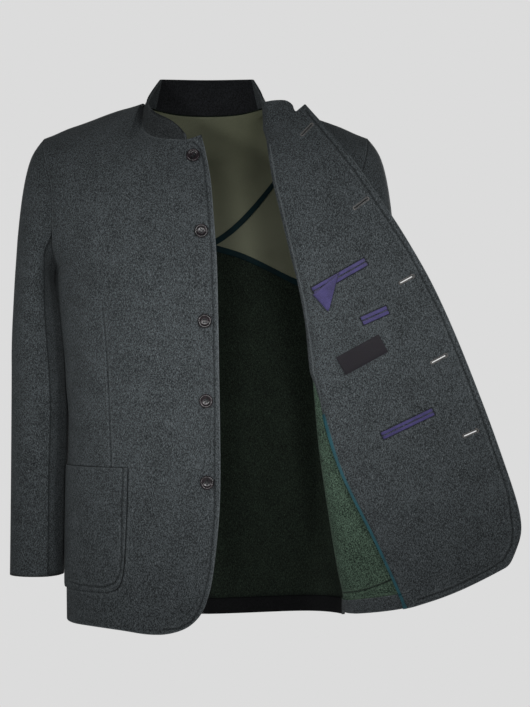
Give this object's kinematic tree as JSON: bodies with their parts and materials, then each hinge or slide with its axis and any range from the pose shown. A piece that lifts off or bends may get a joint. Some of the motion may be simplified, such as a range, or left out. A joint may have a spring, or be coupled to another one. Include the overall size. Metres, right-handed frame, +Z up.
{
  "type": "trachten jacket",
  "caption": "Filled-out wool loden trachten jacket with standing collar, set-in sleeves and patch pockets, worn open with one front rolled back to show its facing.",
  "frame": {"origin": "at the back of the neck, level with the collar seam, on the jacket's centre plane", "axes": "+Z up, the front faces -Y, +X towards the wearer's left"},
  "size_m": [0.7302, 0.2659, 0.7955],
  "materials": {
    "loden": "felted wool loden",
    "satin": "smooth twill lining",
    "binding": "satin bias tape",
    "pocket_cloth": "smooth twill",
    "label_cloth": "woven, bare",
    "horn": "polished horn"
  },
  "bodies": {
    "root": {"right_front": "loden", "left_front": "loden", "back_left": "loden", "back_right": "loden", "right_top_sleeve": "loden", "right_under_sleeve": "loden", "left_top_sleeve": "loden", "left_under_sleeve": "loden", "collar_outer": "loden", "collar_inner": "loden", "left_facing": "loden", "right_patch_pocket": "loden", "left_patch_pocket": "loden", "back_lining_left": "satin", "back_lining_right": "satin", "back_lining_left_binding": "binding", "back_lining_right_binding": "binding", "facing_binding": "binding", "breast_lip_upper": "pocket_cloth", "breast_lip_lower": "pocket_cloth", "pen_lip_upper": "pocket_cloth", "pen_lip_lower": "pocket_cloth", "ticket_lip_upper": "pocket_cloth", "ticket_lip_lower": "pocket_cloth", "breast_tab": "pocket_cloth", "label": "label_cloth", "button_1": "horn", "button_2": "horn", "button_3": "horn", "button_4": "horn", "button_5": "horn"}
  },
  "joints": []
}
